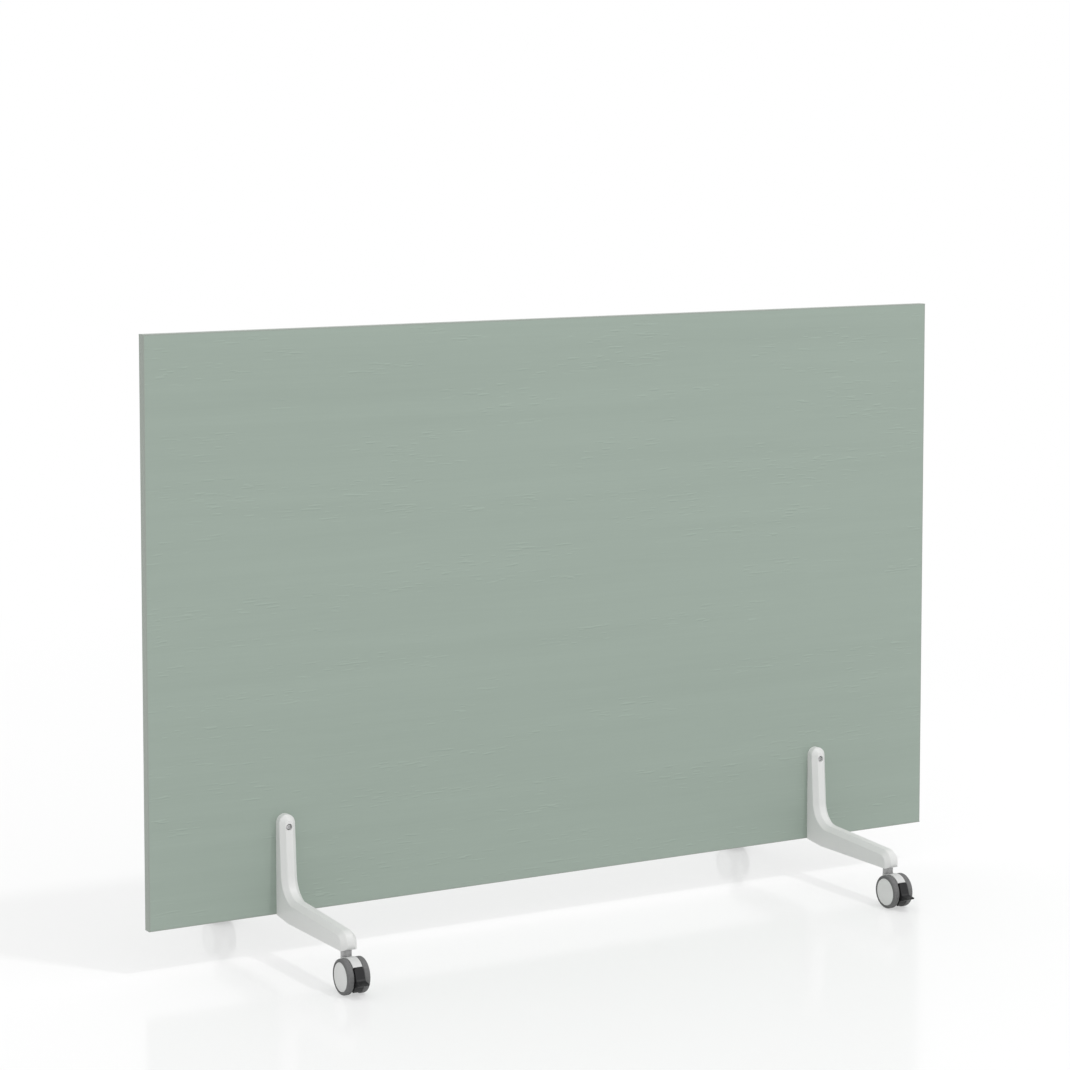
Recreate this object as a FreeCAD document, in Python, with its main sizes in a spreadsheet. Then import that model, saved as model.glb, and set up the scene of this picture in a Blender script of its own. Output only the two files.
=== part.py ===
import FreeCAD, Part
import math
import os
import Sketcher
from FreeCAD import Placement, Rotation, Vector

# Room divider on wheels: a laminated board between two pairs of bolted cast arms, each arm
# standing on a twin-wheel swivel caster with a foot brake.
# Millimetres, Z up, floor at Z = 0, board along X, front of the board towards -Y.

doc = FreeCAD.newDocument("room_divider")
sheet = doc.addObject("Spreadsheet::Sheet", "sizes")

SIZES = (
    # Board
    ("panel_width", 1600),
    ("panel_height", 1000),
    ("panel_thickness", 18),
    ("sheet_thickness", 0.8),
    ("band_thickness", 2),
    ("band_round", 0.8),
    # Cast arms: measured from the board's face, and up from the arm's underside
    ("foot_inset", 249),
    ("arm_width", 30),
    ("arm_reach", 252),
    ("arm_rise", 173.5),
    ("arm_drop", 6.2),
    ("arm_top_depth", 20),
    ("arm_root_depth", 29),
    ("arm_root_height", 42),
    ("arm_nose_height", 30.7),
    ("arm_bend", 39),
    ("arm_nose_round", 22),
    ("arm_toe_round", 9),
    ("arm_chamfer", 8.5),
    ("arm_edge_round", 2),
    ("arm_crown_flat", 0.1),
    ("heel_length", 45),
    ("heel_rise", 5.2),
    ("heel_wall", 16),
    ("heel_pocket_length", 28),
    ("tail_pocket_start", 52),
    ("nose_length", 50),
    ("tail_pocket_depth", 18),
    ("tail_wall", 6),
    # Upper fixing: a button-head bolt from the front in a sleeve nut from the rear
    ("bolt_drop", 20),
    ("bolt_seat", 15.5),
    ("bolt_diameter", 6),
    ("bolt_head_diameter", 10.5),
    ("bolt_head_height", 3.3),
    ("bolt_head_rim", 1),
    ("bolt_head_crown", 6.4),
    ("bolt_key", 4),
    ("bolt_key_depth", 2),
    ("bolt_grip", 12),
    ("sleeve_diameter", 8),
    ("sleeve_short", 1.5),
    ("sleeve_spare", 3),
    ("counterbore_room", 0.35),
    ("hole_room", 0.2),
    # Lower fixing: a hidden hexagon tie bolt with its nut and two washers
    ("tie_height", 21.5),
    ("tie_diameter", 8),
    ("tie_flats", 13),
    ("tie_head_height", 5.3),
    ("tie_nut_height", 6.5),
    ("tie_tail", 3),
    ("washer_diameter", 16),
    ("washer_thickness", 1.6),
    ("washer_room", 2),
    # Caster stems, screwed up into the arms' noses
    ("stem_inset", 18),
    ("thread_diameter", 10),
    ("thread_length", 22),
    ("thread_room", 0.1),
    ("thread_spare", 2),
    ("collar_diameter", 18.5),
    ("collar_bevel", 1),
    ("pivot_diameter", 10),
    ("pivot_length", 28.8),
    ("pivot_spare", 1),
    ("ring_height", 6),
    ("ring_thickness", 1.4),
    ("ring_bite", 1),
    ("ring_proud", 0.7),
    ("ring_room", 0.3),
    # Caster wheels: axial sizes from each wheel's inner face outwards
    ("wheel_diameter", 60),
    ("wheel_headroom", 10.3),
    ("wheel_width", 12),
    ("wheel_gap", 18),
    ("trail", 19.5),
    ("tyre_thickness", 4.5),
    ("tyre_face", 5.1),
    ("tyre_lip", 0.8),
    ("tyre_outer_round", 4),
    ("tyre_inner_round", 2.5),
    ("rim_thickness", 3),
    ("drum_depth", 4),
    ("web_thickness", 3),
    ("hub_diameter", 15),
    ("cap_thickness", 2),
    ("cap_recess", 2.6),
    ("cap_ledge", 2),
    ("cap_room", 0.3),
    ("cap_bevel", 0.6),
    ("axle_diameter", 8),
    ("axle_head_diameter", 11),
    ("axle_head_height", 1.4),
    ("axle_end_gap", 0.3),
    ("running_fit", 0.06),
    # Caster hood between the wheels
    ("side_gap", 0.4),
    ("hood_proud", 0.6),
    ("hood_flat_drop", 1.8),
    ("hood_tail", 29.5),
    ("hood_skirt", 7),
    ("hood_roof", 3.5),
    ("hood_dip_round", 3),
    ("hood_tail_round", 8),
    ("hood_edge_round", 1),
    ("hood_throat_angle", 60),
    ("swivel_gap", 0.6),
    ("boss_diameter", 17),
    ("tongue_width", 8),
    ("tongue_round", 4),
    # Brake pedal: a rocker on a cross pin, with a lug that swings out into each wheel's drum
    ("pedal_side_gap", 0.8),
    ("pedal_top_angle", 38.5),
    ("pedal_gap_angle", 2),
    ("pedal_low_angle", 50),
    ("pedal_lip_angle", 26),
    ("pedal_proud", 2.2),
    ("pedal_wall", 4.5),
    ("pedal_corner_round", 4.5),
    ("lip_reach", 20),
    ("lip_drop", 3.2),
    ("lip_thickness", 2.2),
    ("lip_root", 4.4),
    ("lip_root_drop", 0.8),
    ("lip_round", 6),
    ("pedal_edge_round", 0.8),
    ("slot_room", 0.5),
    ("slot_end", 5.5),
    ("slot_drop", 5),
    ("rocker_inset", 6),
    ("rocker_angle", 31),
    ("rocker_boss", 4.7),
    ("pedal_pin_diameter", 4),
    ("lug_diameter", 5),
    ("lug_angle", 10),
    ("lug_rest_gap", 2.9),
    ("lug_bite", 1.8),
    ("lug_wall", 1.2),
)
for row, (alias, size) in enumerate(SIZES, start=1):
    sheet.set(f"A{row}", alias)
    sheet.set(f"B{row}", str(size))
    sheet.setAlias(f"B{row}", alias)
doc.recompute()

# Heights and places that follow from the sizes
UNDERSIDE = "(sizes.wheel_diameter + sizes.wheel_headroom)"
PANEL_BOTTOM = f"({UNDERSIDE} + sizes.arm_drop)"
PANEL_MIDDLE = f"({PANEL_BOTTOM} + sizes.panel_height / 2)"
HALF_THICKNESS = "(sizes.panel_thickness / 2)"
FOOT = "(sizes.panel_width / 2 - sizes.foot_inset)"
ARM_HEIGHT = "(sizes.arm_drop + sizes.arm_rise)"
BOLT_HEIGHT = f"({UNDERSIDE} + {ARM_HEIGHT} - sizes.bolt_drop)"
TIE_HEIGHT = f"({PANEL_BOTTOM} + sizes.tie_height)"
SLEEVE_HOLE = "(sizes.sleeve_diameter / 2 + sizes.hole_room)"
TIE_HOLE = "(sizes.tie_diameter / 2 + sizes.hole_room)"
STEM_REACH = "(sizes.arm_reach - sizes.stem_inset)"
STEM = f"({HALF_THICKNESS} + {STEM_REACH})"
AXLE = f"({STEM} + sizes.trail)"
WHEEL_RADIUS = "(sizes.wheel_diameter / 2)"
HOOD_RADIUS = f"({WHEEL_RADIUS} + sizes.hood_proud)"
HOOD_FLAT = f"({HOOD_RADIUS} - sizes.hood_flat_drop)"
HOOD_WIDTH = "(sizes.wheel_gap - 2 * sizes.side_gap)"
COLLAR_BOTTOM = f"({WHEEL_RADIUS} + {HOOD_FLAT} + sizes.swivel_gap)"
RIM_RADIUS = f"({WHEEL_RADIUS} - sizes.tyre_thickness)"
DRUM_RADIUS = f"({RIM_RADIUS} - sizes.rim_thickness)"
WEB_FACE = "(sizes.drum_depth + sizes.web_thickness)"
CAP_SEAT = "(sizes.wheel_width - sizes.cap_recess)"
LIP_RADIUS = f"({WHEEL_RADIUS} - sizes.tyre_face)"
CAP_RADIUS = f"({LIP_RADIUS} - sizes.cap_room)"
PEDAL_WIDTH = "(sizes.wheel_gap - 2 * sizes.pedal_side_gap)"
ROCKER_RADIUS = f"({DRUM_RADIUS} - sizes.rocker_inset)"
ROCKER_OUT = f"({ROCKER_RADIUS} * cos(sizes.rocker_angle))"
ROCKER_DOWN = f"({ROCKER_RADIUS} * sin(sizes.rocker_angle))"
LUG_RADIUS = f"({DRUM_RADIUS} - sizes.lug_rest_gap - sizes.lug_diameter / 2)"
LUG_OUT = f"({LUG_RADIUS} * cos(sizes.lug_angle))"
LUG_UP = f"({LUG_RADIUS} * sin(sizes.lug_angle))"

# The four feet: name, side of the middle along X, side of the board along Y
FEET = (("front_left", -1, -1), ("front_right", 1, -1), ("rear_left", -1, 1), ("rear_right", 1, 1))
SIDES = (("left", -1), ("right", 1))
FULL_TURN = 360
HALF_TURN = 180
QUARTER_TURN = 90
HEXAGON = 6
TOLERANCE = 0.01
CORNER_FROM = 10

sub_parts = []


def number(expression):
    return float(sheet.evalExpression(expression))


def new_body(label, kept=True):
    body = doc.addObject("PartDesign::Body", label)
    body.Label = label
    if kept:
        sub_parts.append(body)
    return body


def group(label, members):
    """Like fasteners that share one node stay separate solids in a compound."""
    compound = doc.addObject("Part::Compound", label)
    compound.Label = label
    compound.Links = members
    sub_parts.append(compound)


def place(body, x="0", y="0", z="0", turn=0, tip=0):
    """Set a body at x, y, z, tipped about X and then turned about Z."""
    turning = Rotation(Vector(0, 0, 1), turn) * Rotation(Vector(1, 0, 0), tip)
    body.Placement = Placement(Vector(number(x), number(y), number(z)), turning)
    body.setExpression("Placement.Base.x", x)
    body.setExpression("Placement.Base.y", y)
    body.setExpression("Placement.Base.z", z)


def origin(body, role):
    return next(item for item in body.Origin.OriginFeatures if item.Role == role)


def new_sketch(body, name, role, lift="0", shift="0"):
    """Sketch on an origin plane, lifted along the plane's normal and shifted along its first axis."""
    sketch = body.newObject("Sketcher::SketchObject", name)
    sketch.AttachmentSupport = [(origin(body, role), "")]
    sketch.MapMode = "FlatFace"
    sketch.setExpression("AttachmentOffset.Base.x", shift)
    sketch.setExpression("AttachmentOffset.Base.z", lift)
    return sketch


def pin_point(sketch, curve, point, x, y):
    for kind, expression in (("DistanceX", x), ("DistanceY", y)):
        fixed = Sketcher.Constraint(kind, -1, 1, curve, point, number(expression))
        index = sketch.addConstraint(fixed)
        sketch.setExpression(f"Constraints[{index}]", expression)


def arc_between(start, end, radius, centre_on_left):
    """Arc of at most half a circle, and whether it runs from end to start."""
    chord = end - start
    half = chord.Length / 2
    rise = max(radius * radius - half * half, 0) ** 0.5
    across = Vector(-chord.y, chord.x, 0).normalize()
    centre = (start + end) / 2 + across * (rise if centre_on_left else -rise)
    circle = Part.Circle(centre, Vector(0, 0, 1), radius)
    first, last = (start, end) if centre_on_left else (end, start)
    return Part.ArcOfCircle(circle, circle.parameter(first), circle.parameter(last))


def outline(sketch, corners, arcs=None):
    """Closed outline through corners, each a pair of expressions.

    arcs maps the number of a side to its radius and to whether its centre is left of the way along it.
    """
    arcs = arcs or {}
    points = [Vector(number(x), number(y), 0) for x, y in corners]
    ends = []
    for side, start in enumerate(points):
        end = points[(side + 1) % len(points)]
        if side in arcs:
            radius, centre_on_left = arcs[side]
            curve = sketch.addGeometry(arc_between(start, end, number(radius), centre_on_left))
            ends.append((1, 2) if centre_on_left else (2, 1))
        else:
            curve = sketch.addGeometry(Part.LineSegment(start, end))
            ends.append((1, 2))
    for side, (x, y) in enumerate(corners):
        before = (side - 1) % len(corners)
        sketch.addConstraint(Sketcher.Constraint("Coincident", before, ends[before][1], side, ends[side][0]))
        pin_point(sketch, side, ends[side][0], x, y)
    for side, (radius, centre_on_left) in arcs.items():
        index = sketch.addConstraint(Sketcher.Constraint("Radius", side, number(radius)))
        sketch.setExpression(f"Constraints[{index}]", radius)


def rectangle(sketch, left, right, low, high):
    outline(sketch, ((left, low), (right, low), (right, high), (left, high)))


def circle(sketch, x, y, radius):
    shape = Part.Circle(Vector(number(x), number(y), 0), Vector(0, 0, 1), number(radius))
    curve = sketch.addGeometry(shape)
    pin_point(sketch, curve, 3, x, y)
    index = sketch.addConstraint(Sketcher.Constraint("Radius", curve, number(radius)))
    sketch.setExpression(f"Constraints[{index}]", radius)


def hexagon(sketch, flats):
    """Hexagon about the sketch's origin, by its width across flats."""
    step = FULL_TURN / HEXAGON
    reach = f"{flats} / 2 / cos({step / 2})"
    corners = [(f"{reach} * cos({step * i})", f"{reach} * sin({step * i})") for i in range(HEXAGON)]
    outline(sketch, corners)


def pad(body, sketch, length, symmetric=False, reverse=False):
    feature = body.newObject("PartDesign::Pad", sketch.Name + "_pad")
    feature.Profile = sketch
    feature.SideType = "Symmetric" if symmetric else "One side"
    feature.Reversed = reverse
    feature.setExpression("Length", length)
    doc.recompute()
    return feature


def pocket(body, sketch, length, symmetric=False, reverse=False):
    """Cut the sketch into the body, and stop if it takes nothing away."""
    volume = body.Tip.Shape.Volume
    feature = body.newObject("PartDesign::Pocket", sketch.Name + "_cut")
    feature.Profile = sketch
    feature.SideType = "Symmetric" if symmetric else "One side"
    feature.Reversed = reverse
    feature.setExpression("Length", length)
    doc.recompute()
    if feature.Shape.Volume >= volume:
        raise RuntimeError(f"{body.Label}: {sketch.Name} cuts nothing")
    return feature


def revolve(body, sketch, axis, kind="Revolution"):
    feature = body.newObject(f"PartDesign::{kind}", sketch.Name + "_turned")
    feature.Profile = sketch
    feature.ReferenceAxis = (sketch, [axis])
    feature.Angle = FULL_TURN
    doc.recompute()
    return feature


def dress(body, kind, size, expression, wanted):
    """Fillet or chamfer every edge of the body's tip that is wanted, by its middle point and itself."""
    base = body.Tip
    names = []
    for i, edge in enumerate(base.Shape.Edges, start=1):
        middle = edge.valueAt((edge.FirstParameter + edge.LastParameter) / 2)
        if wanted(middle, edge):
            names.append(f"Edge{i}")
    if not names:
        raise RuntimeError(f"{body.Label}: no edge to {kind}")
    feature = body.newObject(f"PartDesign::{kind}", f"{body.Name}_{kind}")
    feature.Base = (base, names)
    feature.setExpression(size, expression)
    doc.recompute()
    return feature


def corner_angle(shape, edge):
    """Angle in degrees between the two faces that meet at an edge, at its middle."""
    middle = edge.valueAt((edge.FirstParameter + edge.LastParameter) / 2)
    normals = []
    for face in shape.ancestorsOfType(edge, Part.Face):
        normals.append(face.normalAt(*face.Surface.parameter(middle)))
    if len(normals) < 2:
        return 0
    return math.degrees(normals[0].getAngle(normals[1]))


def near(a, b):
    return abs(a - b) < TOLERANCE


def mount_holes(sketch):
    """The four holes through the board: one upper and one lower at each foot."""
    for name, side in SIDES:
        circle(sketch, f"{side} * {FOOT}", f"{BOLT_HEIGHT} - {PANEL_MIDDLE}", SLEEVE_HOLE)
        circle(sketch, f"{side} * {FOOT}", f"{TIE_HEIGHT} - {PANEL_MIDDLE}", TIE_HOLE)


def board_layer(label, thickness, y):
    """One layer of the board inside the edge bands, bored for the feet."""
    body = new_body(label)
    face = new_sketch(body, label + "_face", "XZ_Plane")
    half_width = "(sizes.panel_width / 2 - sizes.band_thickness)"
    half_height = "(sizes.panel_height / 2 - sizes.band_thickness)"
    rectangle(face, f"-{half_width}", half_width, f"-{half_height}", half_height)
    pad(body, face, thickness, symmetric=True)
    holes = new_sketch(body, label + "_holes", "XZ_Plane")
    mount_holes(holes)
    pocket(body, holes, f"2 * {thickness}", symmetric=True)
    place(body, y=y, z=PANEL_MIDDLE)


def edge_band(label, length, x, z, tip):
    """Strip on one edge of the board, made lying flat with its outer face up."""
    body = new_body(label)
    strip = new_sketch(body, label + "_strip", "XY_Plane")
    rectangle(strip, f"-{length} / 2", f"{length} / 2", f"-{HALF_THICKNESS}", HALF_THICKNESS)
    pad(body, strip, "sizes.band_thickness")
    top = number("sizes.band_thickness")
    side = number(HALF_THICKNESS)
    dress(body, "Fillet", "Radius", "sizes.band_round",
          lambda middle, edge: near(middle.z, top) and near(abs(middle.y), side))
    turning = Rotation(Vector(0, 1, 0), tip)
    body.Placement = Placement(Vector(number(x), 0, number(z)), turning)
    body.setExpression("Placement.Base.x", x)
    body.setExpression("Placement.Base.z", z)


def build_board():
    skin_middle = f"({HALF_THICKNESS} - sizes.sheet_thickness / 2)"
    board_layer("panel_core", "(sizes.panel_thickness - 2 * sizes.sheet_thickness)", "0")
    board_layer("front_face_sheet", "sizes.sheet_thickness", f"-{skin_middle}")
    board_layer("rear_face_sheet", "sizes.sheet_thickness", skin_middle)
    inner_height = "(sizes.panel_height - 2 * sizes.band_thickness)"
    inner_end = "(sizes.panel_width / 2 - sizes.band_thickness)"
    inner_low = f"{PANEL_BOTTOM} + sizes.band_thickness"
    inner_high = f"{PANEL_BOTTOM} + sizes.panel_height - sizes.band_thickness"
    edge_band("edge_band_top", "sizes.panel_width", "0", inner_high, 0)
    edge_band("edge_band_bottom", "sizes.panel_width", "0", inner_low, HALF_TURN)
    edge_band("edge_band_left", inner_height, f"-{inner_end}", PANEL_MIDDLE, -QUARTER_TURN)
    edge_band("edge_band_right", inner_height, inner_end, PANEL_MIDDLE, QUARTER_TURN)


def build_arm(label, side, face):
    """Cast arm: an upright on the board, a bend and a tail out to the caster.

    It is made with its back on the plane Y = 0, reaching out along +Y, its underside at Z = 0.
    """
    body = new_body(label)
    profile = new_sketch(body, label + "_profile", "YZ_Plane")
    outline(profile, (
        ("0", "sizes.heel_rise"),
        ("sizes.heel_length", "0"),
        ("sizes.arm_reach", "0"),
        ("sizes.arm_reach", "sizes.arm_nose_height"),
        ("sizes.arm_root_depth", "sizes.arm_root_height"),
        ("sizes.arm_top_depth", ARM_HEIGHT),
        ("0", ARM_HEIGHT),
    ))
    pad(body, profile, "sizes.arm_width", symmetric=True)

    half = number("sizes.arm_width / 2")
    height = number(ARM_HEIGHT)
    reach = number("sizes.arm_reach")
    root = Vector(0, number("sizes.arm_root_depth"), number("sizes.arm_root_height"))
    top = Vector(0, number("sizes.arm_top_depth"), height)
    nose_height = number("sizes.arm_nose_height")
    crown = number("sizes.arm_width / 2 - sizes.arm_crown_flat")
    slope = number("sizes.heel_rise / sizes.heel_length")
    heel_length = number("sizes.heel_length")

    dress(body, "Fillet", "Radius", "sizes.arm_width / 2 - sizes.arm_crown_flat",
          lambda middle, edge: near(abs(middle.x), half) and near(middle.z, height))
    dress(body, "Fillet", "Radius", "sizes.arm_bend",
          lambda middle, edge: near(middle.x, 0) and near(middle.y, root.y) and near(middle.z, root.z))
    dress(body, "Fillet", "Radius", "sizes.arm_nose_round",
          lambda middle, edge: near(middle.x, 0) and near(middle.y, reach) and near(middle.z, nose_height))

    front_normal = Vector(0, top.z - root.z, root.y - top.y).normalize()

    def on_contour(middle, edge):
        """The edges round the front of the upright, the bend, the tail and the nose."""
        on_front = near((middle - top).dot(front_normal), 0)
        if on_front and middle.z > height - crown - TOLERANCE:
            return True
        underside = max(heel_length - middle.y, 0) * slope
        crown_seam = all(near(vertex.Z, height - crown) for vertex in edge.Vertexes)
        on_side = near(abs(middle.x), half)
        return on_side and middle.y > TOLERANCE and middle.z > underside + TOLERANCE and not crown_seam

    dress(body, "Chamfer", "Size", "sizes.arm_chamfer", on_contour)

    def on_chamfer(middle, edge):
        """The borders of the chamfer: real corners, off the back and the underside."""
        underside = max(heel_length - middle.y, 0) * slope
        if middle.y < TOLERANCE or middle.z < underside + TOLERANCE:
            return False
        return corner_angle(body.Tip.Shape, edge) > CORNER_FROM

    dress(body, "Fillet", "Radius", "sizes.arm_edge_round", on_chamfer)

    # The nose is rounded below as well
    toe = new_sketch(body, label + "_toe", "YZ_Plane")
    toe_back = "sizes.arm_reach - sizes.arm_toe_round"
    toe_front = "sizes.arm_reach + sizes.arm_edge_round"
    outline(toe, (
        (toe_back, "0"),
        ("sizes.arm_reach", "sizes.arm_toe_round"),
        (toe_front, "sizes.arm_toe_round"),
        (toe_front, "-sizes.arm_edge_round"),
        (toe_back, "-sizes.arm_edge_round"),
    ), arcs={0: ("sizes.arm_toe_round", True)})
    pocket(body, toe, "2 * sizes.arm_width", symmetric=True)

    # Upper bolt: a clear hole through the upright, counterbored from the front
    bolt_z = f"({ARM_HEIGHT} - sizes.bolt_drop)"
    bore = new_sketch(body, label + "_bolt_hole", "XZ_Plane")
    circle(bore, "0", bolt_z, SLEEVE_HOLE)
    pocket(body, bore, "sizes.arm_root_depth")
    seat = new_sketch(body, label + "_bolt_seat", "XZ_Plane", lift="-sizes.bolt_seat")
    circle(seat, "0", bolt_z, "sizes.bolt_head_diameter / 2 + sizes.counterbore_room")
    pocket(body, seat, "sizes.arm_root_depth")

    # Lower bolt: a pocket up into the heel for head, nut and spanner, and a hole to the board
    pocket_height = "(sizes.arm_drop + sizes.tie_height + sizes.washer_diameter / 2 + sizes.washer_room)"
    pocket_half = "(sizes.washer_diameter / 2 + sizes.washer_room)"
    pocket_end = "sizes.heel_wall + sizes.heel_pocket_length"
    heel = new_sketch(body, label + "_heel_pocket", "XY_Plane")
    rectangle(heel, f"-{pocket_half}", pocket_half, "sizes.heel_wall", pocket_end)
    pocket(body, heel, pocket_height, reverse=True)
    tie = new_sketch(body, label + "_tie_hole", "XZ_Plane")
    circle(tie, "0", "sizes.arm_drop + sizes.tie_height", TIE_HOLE)
    pocket(body, tie, "sizes.heel_wall + sizes.washer_thickness")

    # The tail is cast hollow below, and its nose is tapped for the caster's stem
    tail = new_sketch(body, label + "_tail_pocket", "XY_Plane")
    tail_half = "(sizes.arm_width / 2 - sizes.tail_wall)"
    tail_end = "sizes.arm_reach - sizes.nose_length"
    rectangle(tail, f"-{tail_half}", tail_half, "sizes.tail_pocket_start", tail_end)
    pocket(body, tail, "sizes.tail_pocket_depth", reverse=True)
    tapped = new_sketch(body, label + "_tapped_hole", "XY_Plane")
    circle(tapped, "0", STEM_REACH, "sizes.thread_diameter / 2 + sizes.thread_room")
    pocket(body, tapped, "sizes.thread_length + sizes.thread_spare", reverse=True)

    turn = 0 if face > 0 else HALF_TURN
    place(body, f"{side} * {FOOT}", f"{face} * {HALF_THICKNESS}", UNDERSIDE, turn=turn)


def key_socket(body, name):
    """Hexagon socket sunk into a bolt head."""
    sketch = new_sketch(body, name, "XY_Plane", lift="sizes.bolt_head_height")
    hexagon(sketch, "sizes.bolt_key")
    pocket(body, sketch, "sizes.bolt_key_depth")


def build_upper_bolt(name, side):
    """Button-head bolt: head above Z = 0, shank below."""
    body = new_body(name, kept=False)
    length = "(sizes.bolt_seat + sizes.sleeve_short + sizes.bolt_grip)"
    half = new_sketch(body, name + "_half", "XZ_Plane")
    outline(half, (
        ("0", f"-{length}"),
        ("sizes.bolt_diameter / 2", f"-{length}"),
        ("sizes.bolt_diameter / 2", "0"),
        ("sizes.bolt_head_diameter / 2", "0"),
        ("sizes.bolt_head_diameter / 2", "sizes.bolt_head_rim"),
        ("sizes.bolt_head_crown / 2", "sizes.bolt_head_height"),
        ("0", "sizes.bolt_head_height"),
    ))
    revolve(body, half, "V_Axis")
    key_socket(body, name + "_key")
    place(body, f"{side} * {FOOT}", f"-{HALF_THICKNESS} - sizes.bolt_seat", BOLT_HEIGHT, tip=QUARTER_TURN)
    return body


def build_sleeve_nut(name, side):
    """Sleeve nut: head above Z = 0, threaded sleeve below, open at its far end."""
    body = new_body(name, kept=False)
    length = "(sizes.bolt_seat + sizes.panel_thickness - sizes.sleeve_short)"
    bore_top = f"-{length} + sizes.bolt_grip + sizes.sleeve_spare"
    bore = "sizes.bolt_diameter / 2 + sizes.thread_room"
    half = new_sketch(body, name + "_half", "XZ_Plane")
    outline(half, (
        ("0", bore_top),
        (bore, bore_top),
        (bore, f"-{length}"),
        ("sizes.sleeve_diameter / 2", f"-{length}"),
        ("sizes.sleeve_diameter / 2", "0"),
        ("sizes.bolt_head_diameter / 2", "0"),
        ("sizes.bolt_head_diameter / 2", "sizes.bolt_head_rim"),
        ("sizes.bolt_head_crown / 2", "sizes.bolt_head_height"),
        ("0", "sizes.bolt_head_height"),
    ))
    revolve(body, half, "V_Axis")
    key_socket(body, name + "_key")
    place(body, f"{side} * {FOOT}", f"{HALF_THICKNESS} + sizes.bolt_seat", BOLT_HEIGHT, tip=-QUARTER_TURN)
    return body


def build_tie_bolt(name, side):
    """Hexagon bolt: head above Z = 0, shank below, through both heels and the board."""
    body = new_body(name, kept=False)
    head = new_sketch(body, name + "_head", "XY_Plane")
    hexagon(head, "sizes.tie_flats")
    pad(body, head, "sizes.tie_head_height")
    shank = new_sketch(body, name + "_shank", "XY_Plane")
    circle(shank, "0", "0", "sizes.tie_diameter / 2")
    grip = "sizes.panel_thickness + 2 * sizes.heel_wall + 2 * sizes.washer_thickness"
    pad(body, shank, f"{grip} + sizes.tie_nut_height + sizes.tie_tail", reverse=True)
    y = f"-{HALF_THICKNESS} - sizes.heel_wall - sizes.washer_thickness"
    place(body, f"{side} * {FOOT}", y, TIE_HEIGHT, tip=QUARTER_TURN)
    return body


def build_tie_nut(name, side):
    body = new_body(name, kept=False)
    block = new_sketch(body, name + "_block", "XY_Plane")
    hexagon(block, "sizes.tie_flats")
    circle(block, "0", "0", "sizes.tie_diameter / 2 + sizes.thread_room")
    pad(body, block, "sizes.tie_nut_height")
    y = f"{HALF_THICKNESS} + sizes.heel_wall + sizes.washer_thickness"
    place(body, f"{side} * {FOOT}", y, TIE_HEIGHT, tip=-QUARTER_TURN)
    return body


def build_tie_washer(name, side, face):
    body = new_body(name, kept=False)
    ring = new_sketch(body, name + "_ring", "XY_Plane")
    circle(ring, "0", "0", "sizes.washer_diameter / 2")
    circle(ring, "0", "0", TIE_HOLE)
    pad(body, ring, "sizes.washer_thickness")
    y = f"{face} * ({HALF_THICKNESS} + sizes.heel_wall)"
    place(body, f"{side} * {FOOT}", y, TIE_HEIGHT, tip=-face * QUARTER_TURN)
    return body


def build_fixings():
    group("upper_bolts", [build_upper_bolt(f"upper_bolt_{name}", side) for name, side in SIDES])
    group("upper_sleeve_nuts", [build_sleeve_nut(f"sleeve_nut_{name}", side) for name, side in SIDES])
    group("lower_tie_bolts", [build_tie_bolt(f"tie_bolt_{name}", side) for name, side in SIDES])
    group("lower_tie_nuts", [build_tie_nut(f"tie_nut_{name}", side) for name, side in SIDES])
    washers = [build_tie_washer(f"tie_washer_{foot}", side, face) for foot, side, face in FEET]
    group("lower_tie_washers", washers)


RING_INNER = "(sizes.pivot_diameter / 2 - sizes.ring_bite)"
RING_OUTER = "(sizes.pivot_diameter / 2 + sizes.ring_proud)"
PIVOT_END = f"({COLLAR_BOTTOM} - sizes.pivot_length)"
RING_LOW = f"({PIVOT_END} + sizes.ring_height)"
RING_HIGH = f"({RING_LOW} + sizes.ring_thickness)"


def build_stem(name, side, face):
    """Caster stem about its own axis: thread above, collar under the arm, pivot down into the hood."""
    body = new_body(name, kept=False)
    half = new_sketch(body, name + "_half", "XZ_Plane")
    outline(half, (
        ("0", PIVOT_END),
        ("sizes.pivot_diameter / 2", PIVOT_END),
        ("sizes.pivot_diameter / 2", RING_LOW),
        (RING_INNER, RING_LOW),
        (RING_INNER, RING_HIGH),
        ("sizes.pivot_diameter / 2", RING_HIGH),
        ("sizes.pivot_diameter / 2", COLLAR_BOTTOM),
        ("sizes.collar_diameter / 2", COLLAR_BOTTOM),
        ("sizes.collar_diameter / 2", f"{UNDERSIDE} - 2 * sizes.collar_bevel"),
        ("sizes.collar_diameter / 2 - sizes.collar_bevel", UNDERSIDE),
        ("sizes.thread_diameter / 2", UNDERSIDE),
        ("sizes.thread_diameter / 2", f"{UNDERSIDE} + sizes.thread_length"),
        ("0", f"{UNDERSIDE} + sizes.thread_length"),
    ))
    revolve(body, half, "V_Axis")
    place(body, f"{side} * {FOOT}", f"{face} * {STEM}")
    return body


def build_grip_ring(name, side, face):
    """Ring in the pivot's groove that keeps the hood from dropping off."""
    body = new_body(name, kept=False)
    half = new_sketch(body, name + "_half", "XZ_Plane")
    rectangle(half, RING_INNER, RING_OUTER, RING_LOW, RING_HIGH)
    revolve(body, half, "V_Axis")
    place(body, f"{side} * {FOOT}", f"{face} * {STEM}")
    return body


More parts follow.
